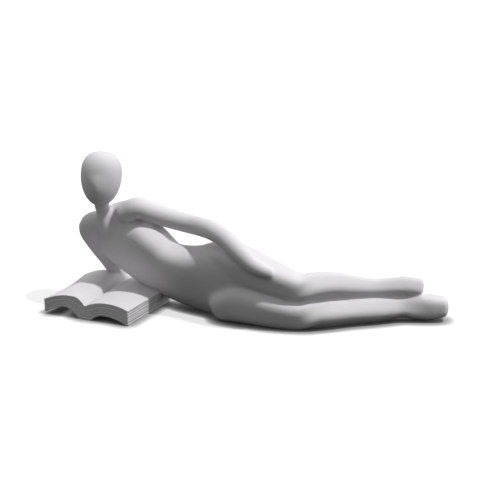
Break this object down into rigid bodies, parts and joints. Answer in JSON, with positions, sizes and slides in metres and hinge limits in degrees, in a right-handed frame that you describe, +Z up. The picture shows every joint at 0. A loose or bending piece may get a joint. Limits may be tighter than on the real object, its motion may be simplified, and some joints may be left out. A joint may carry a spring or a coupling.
{
  "type": "reading figure statue",
  "caption": "Reclining slender figure with a smooth featureless head, cast in one piece with the open book it leans over; stands on its flat underside.",
  "frame": {"origin": "centre of the footprint's box, on the surface that the statue stands on", "axes": "+X from the head and book towards the feet, -Y the side that the figure faces, +Z up"},
  "size_m": [0.3108, 0.108, 0.1229],
  "materials": {
    "cast_resin": "matt off-white cast resin"
  },
  "bodies": {
    "root": {"reading_figure": "cast_resin"}
  },
  "joints": []
}
